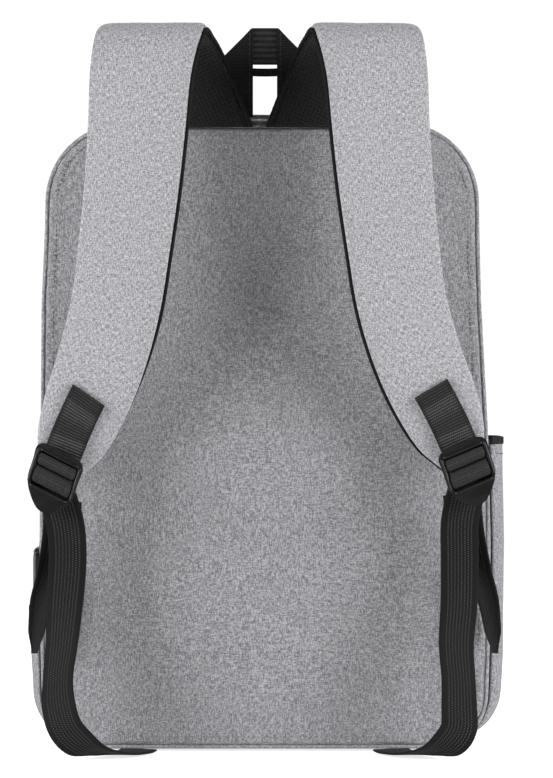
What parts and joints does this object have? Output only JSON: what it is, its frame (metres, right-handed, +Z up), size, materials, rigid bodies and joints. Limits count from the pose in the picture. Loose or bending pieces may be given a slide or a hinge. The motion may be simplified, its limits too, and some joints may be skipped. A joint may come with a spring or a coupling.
{
  "type": "solar backpack",
  "caption": "Slim grey laptop backpack with padded shoulder straps, carry handle, side charging port and a zipped clamshell front that carries a solar panel.",
  "frame": {"origin": "centre of the base's rest face, on the floor", "axes": "+Z up, -Y towards the wearer's back (the strap side), +Y towards the solar panel, +X to the right as seen from the strap side"},
  "size_m": [0.321, 0.2038, 0.483],
  "materials": {
    "grey_fabric": "heather melange weave",
    "dark_fabric": "matt lining cloth",
    "black_mesh": "spacer mesh",
    "webbing": "ribbed webbing",
    "black_plastic": "moulded satin",
    "base_cloth": "coated cloth",
    "stiff_board": "board",
    "zip_metal": "black painted",
    "zip_tape": "woven tape with coil",
    "solar_cell": "dark blue-black cell",
    "solar_film": "clear laminate",
    "rivet_steel": "plated",
    "socket_steel": "plated",
    "rubber_black": "matt"
  },
  "bodies": {
    "bag": {"back_panel": "grey_fabric", "rear_shell": "grey_fabric", "bag_lining": "dark_fabric", "back_piping": "grey_fabric", "base_panel": "base_cloth", "base_board": "stiff_board", "laptop_sleeve": "dark_fabric", "sleeve_strap": "webbing", "rear_zip_tape": "zip_tape", "left_side_pocket": "grey_fabric", "left_pocket_hem": "webbing", "right_side_pocket": "grey_fabric", "right_pocket_hem": "webbing", "usb_housing": "rubber_black", "usb_socket": "socket_steel", "strap_yoke": "webbing", "lid_hinge_piping": "grey_fabric", "left_strap_riser": "grey_fabric", "right_strap_riser": "grey_fabric", "left_webbing_loop": "webbing", "right_webbing_loop": "webbing"},
    "front_lid": {"front_shell": "grey_fabric", "lid_lining": "dark_fabric", "front_piping": "grey_fabric", "front_zip_tape": "zip_tape", "solar_backing": "base_cloth", "solar_cells": "solar_cell", "solar_film": "solar_film", "solar_border": "base_cloth", "solar_rivets": "rivet_steel", "regulator_box": "black_plastic", "lead_grommet": "rubber_black", "lid_mesh_pocket": "black_mesh", "front_pocket": "grey_fabric", "pocket_zip_tape": "zip_tape"},
    "carry_handle": {"carry_handle": "webbing", "hang_loop": "webbing"},
    "left_strap": {"left_strap_pad": "grey_fabric", "left_strap_mesh": "black_mesh", "left_strap_binding": "webbing", "left_anchor_tape": "webbing"},
    "left_lock": {"left_ladder_lock": "black_plastic", "left_webbing_wrap": "webbing"},
    "left_tail": {"left_webbing_tail": "webbing"},
    "left_run": {"left_webbing_run": "webbing"},
    "right_strap": {"right_strap_pad": "grey_fabric", "right_strap_mesh": "black_mesh", "right_strap_binding": "webbing", "right_anchor_tape": "webbing"},
    "right_lock": {"right_ladder_lock": "black_plastic", "right_webbing_wrap": "webbing"},
    "right_tail": {"right_webbing_tail": "webbing"},
    "right_run": {"right_webbing_run": "webbing"},
    "left_zip_slider": {"left_zip_slider": "zip_metal"},
    "left_zip_pull": {"left_zip_pull": "rubber_black"},
    "right_zip_slider": {"right_zip_slider": "zip_metal"},
    "right_zip_pull": {"right_zip_pull": "rubber_black"},
    "pocket_slider": {"pocket_slider": "zip_metal"},
    "pocket_pull": {"pocket_pull": "rubber_black"},
    "usb_cap": {"usb_cap": "rubber_black"}
  },
  "joints": [
    {"name": "lid_fold", "type": "hinge", "parent": "bag", "child": "front_lid", "pos_m": [0, 0.0642, 0.048], "axis": [-1, 0, 0], "range_deg": [0, 90]},
    {"name": "handle_fold", "type": "hinge", "parent": "bag", "child": "carry_handle", "pos_m": [0, -0.057, 0.4226], "axis": [-1, 0, 0], "range_deg": [0, 60]},
    {"name": "left_strap_swing", "type": "hinge", "parent": "bag", "child": "left_strap", "pos_m": [-0.072, -0.0918, 0.4823], "axis": [-1, 0, 0], "range_deg": [0, 15]},
    {"name": "left_lock_tilt", "type": "hinge", "parent": "left_strap", "child": "left_lock", "pos_m": [-0.13626, -0.0997, 0.1912], "axis": [-0.9336, 0, 0.3584], "range_deg": [0, 10]},
    {"name": "left_tail_follow", "type": "hinge", "parent": "left_strap", "child": "left_tail", "pos_m": [-0.137, -0.0845, 0.168], "axis": [1, 0, 0], "range_deg": [0, 49.5]},
    {"name": "left_run_follow", "type": "hinge", "parent": "bag", "child": "left_run", "pos_m": [-0.133, -0.108, 0.036], "axis": [1, 0, 0], "range_deg": [0, 34.5]},
    {"name": "left_zip_slide", "type": "slide", "parent": "bag", "child": "left_zip_slider", "axis": [-1, 0, 0], "range_m": [0, 0.064]},
    {"name": "left_zip_pull_turn", "type": "hinge", "parent": "left_zip_slider", "child": "left_zip_pull", "pos_m": [-0.016, 0.032, 0.433], "axis": [0, 1, 0], "range_deg": [0, 105]},
    {"name": "right_strap_swing", "type": "hinge", "parent": "bag", "child": "right_strap", "pos_m": [0.0645, -0.0918, 0.4823], "axis": [-1, 0, 0], "range_deg": [0, 15]},
    {"name": "right_lock_tilt", "type": "hinge", "parent": "right_strap", "child": "right_lock", "pos_m": [0.13154, -0.0997, 0.1962], "axis": [-0.9336, 0, -0.3584], "range_deg": [0, 10]},
    {"name": "right_tail_follow", "type": "hinge", "parent": "right_strap", "child": "right_tail", "pos_m": [0.137, -0.0845, 0.173], "axis": [1, 0, 0], "range_deg": [0, 49.5]},
    {"name": "right_run_follow", "type": "hinge", "parent": "bag", "child": "right_run", "pos_m": [0.133, -0.108, 0.036], "axis": [1, 0, 0], "range_deg": [0, 34.5]},
    {"name": "right_zip_slide", "type": "slide", "parent": "bag", "child": "right_zip_slider", "axis": [1, 0, 0], "range_m": [0, 0.064]},
    {"name": "right_zip_pull_turn", "type": "hinge", "parent": "right_zip_slider", "child": "right_zip_pull", "pos_m": [0.016, 0.032, 0.433], "axis": [0, -1, 0], "range_deg": [0, 105]},
    {"name": "pocket_slide", "type": "slide", "parent": "front_lid", "child": "pocket_slider", "axis": [-1, 0, 0], "range_m": [0, 0.192]},
    {"name": "pocket_pull_turn", "type": "hinge", "parent": "pocket_slider", "child": "pocket_pull", "pos_m": [0.096, 0.0683, 0.199], "axis": [0, 0, -1], "range_deg": [0, 160]},
    {"name": "usb_cap_lift", "type": "hinge", "parent": "bag", "child": "usb_cap", "pos_m": [-0.1567, 0.004, 0.1312], "axis": [0, 1, 0], "range_deg": [0, 110]}
  ],
  "couplings": [
    {"joint": "left_tail_follow", "follows": "left_strap_swing", "ratio": 3.3},
    {"joint": "left_run_follow", "follows": "left_strap_swing", "ratio": 2.3},
    {"joint": "right_tail_follow", "follows": "right_strap_swing", "ratio": 3.3},
    {"joint": "right_run_follow", "follows": "right_strap_swing", "ratio": 2.3}
  ]
}
